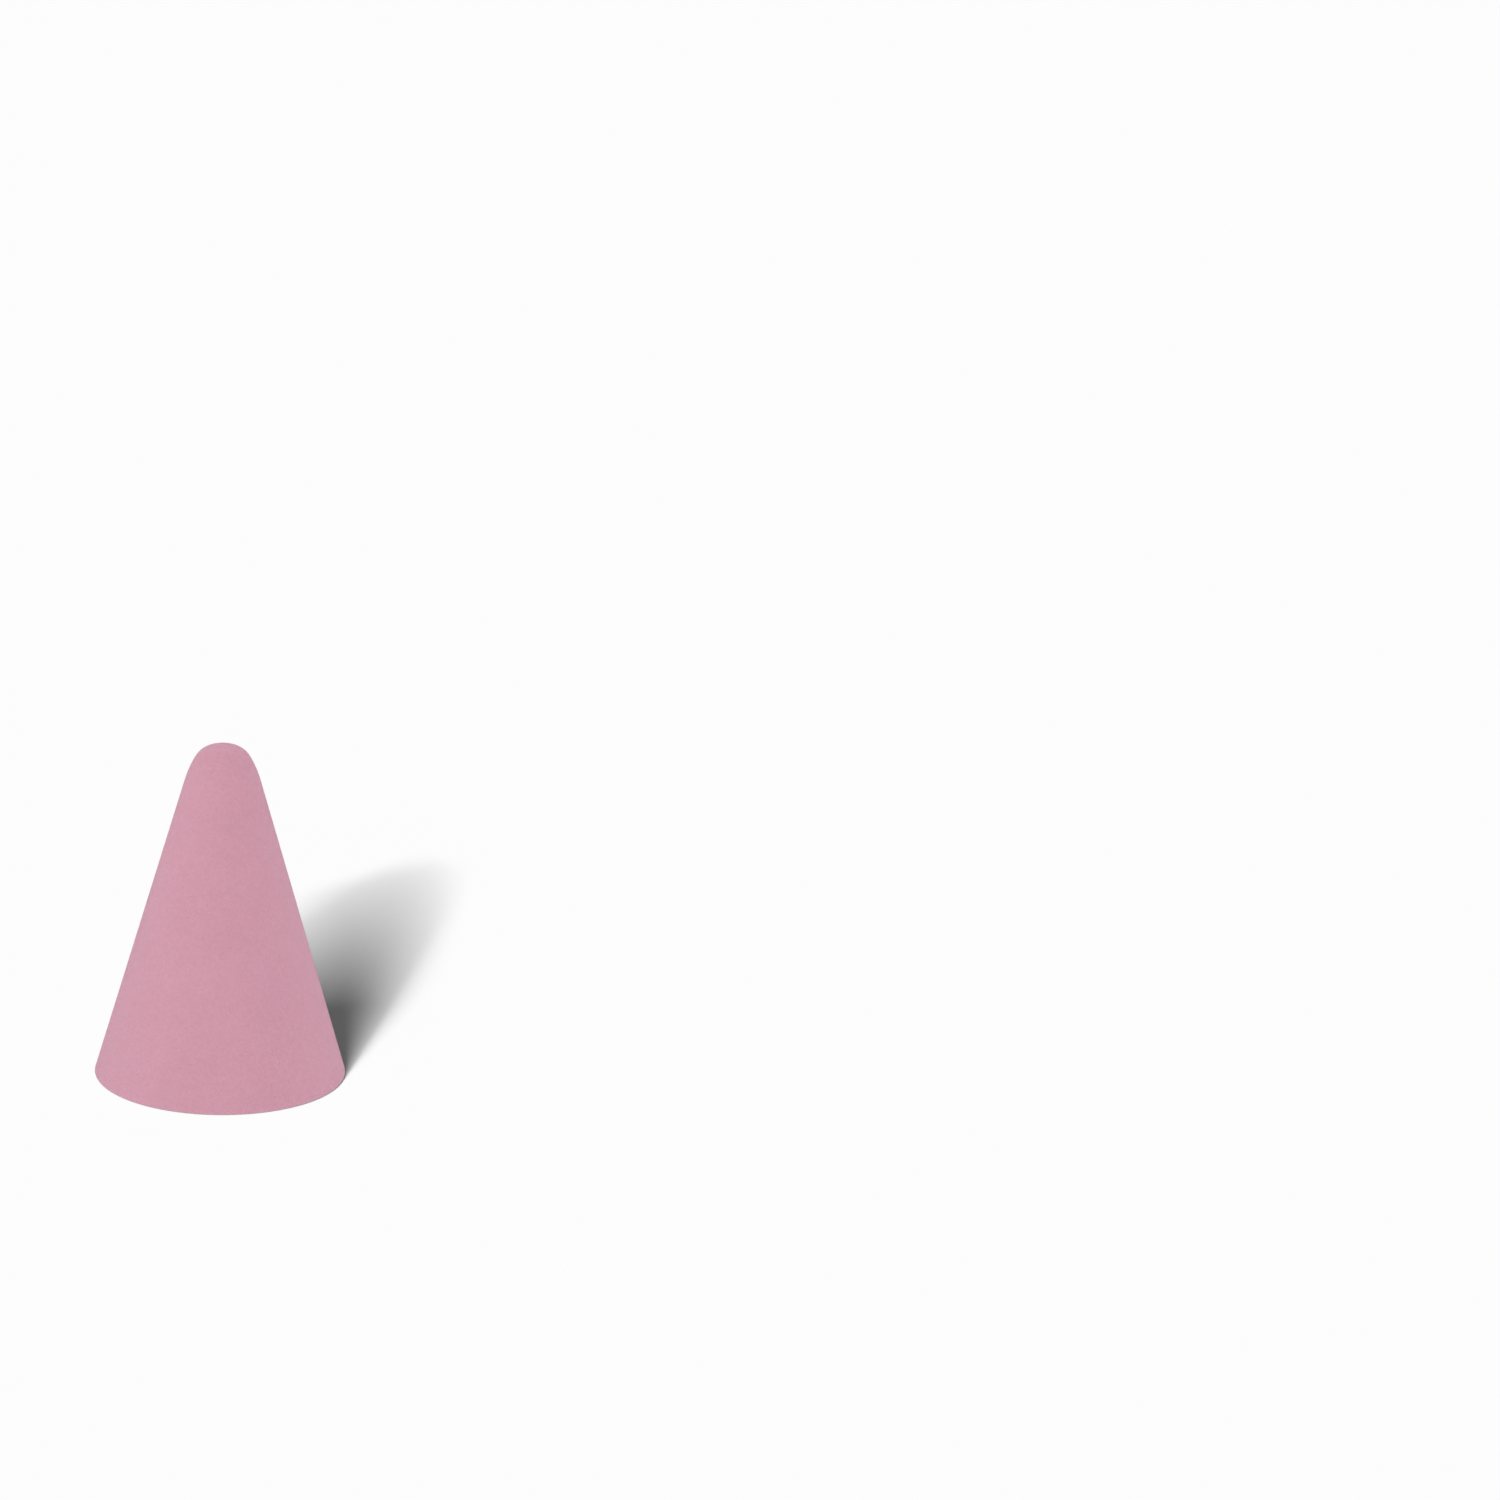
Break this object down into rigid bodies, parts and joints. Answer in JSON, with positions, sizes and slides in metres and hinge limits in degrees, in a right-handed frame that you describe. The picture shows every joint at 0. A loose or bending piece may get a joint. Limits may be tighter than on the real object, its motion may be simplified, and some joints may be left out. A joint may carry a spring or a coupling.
{
  "type": "stylus nib cap",
  "caption": "Soft silicone slip-on cap for a stylus tip: a thin-walled hollow cone with a rounded closed tip and an open base that grips the nib by stretch.",
  "frame": {"origin": "centre of the rim plane, where the cap's open base stands on a table", "axes": "+Z along the cone's axis from the open base up to the rounded tip; X and Y are free, because the cap is a body of revolution"},
  "size_m": [0.0068, 0.0068, 0.0095],
  "materials": {
    "silicone": "matte dusty-pink silicone, plain moulded skin"
  },
  "bodies": {
    "root": {"nib_cap": "silicone"}
  },
  "joints": []
}
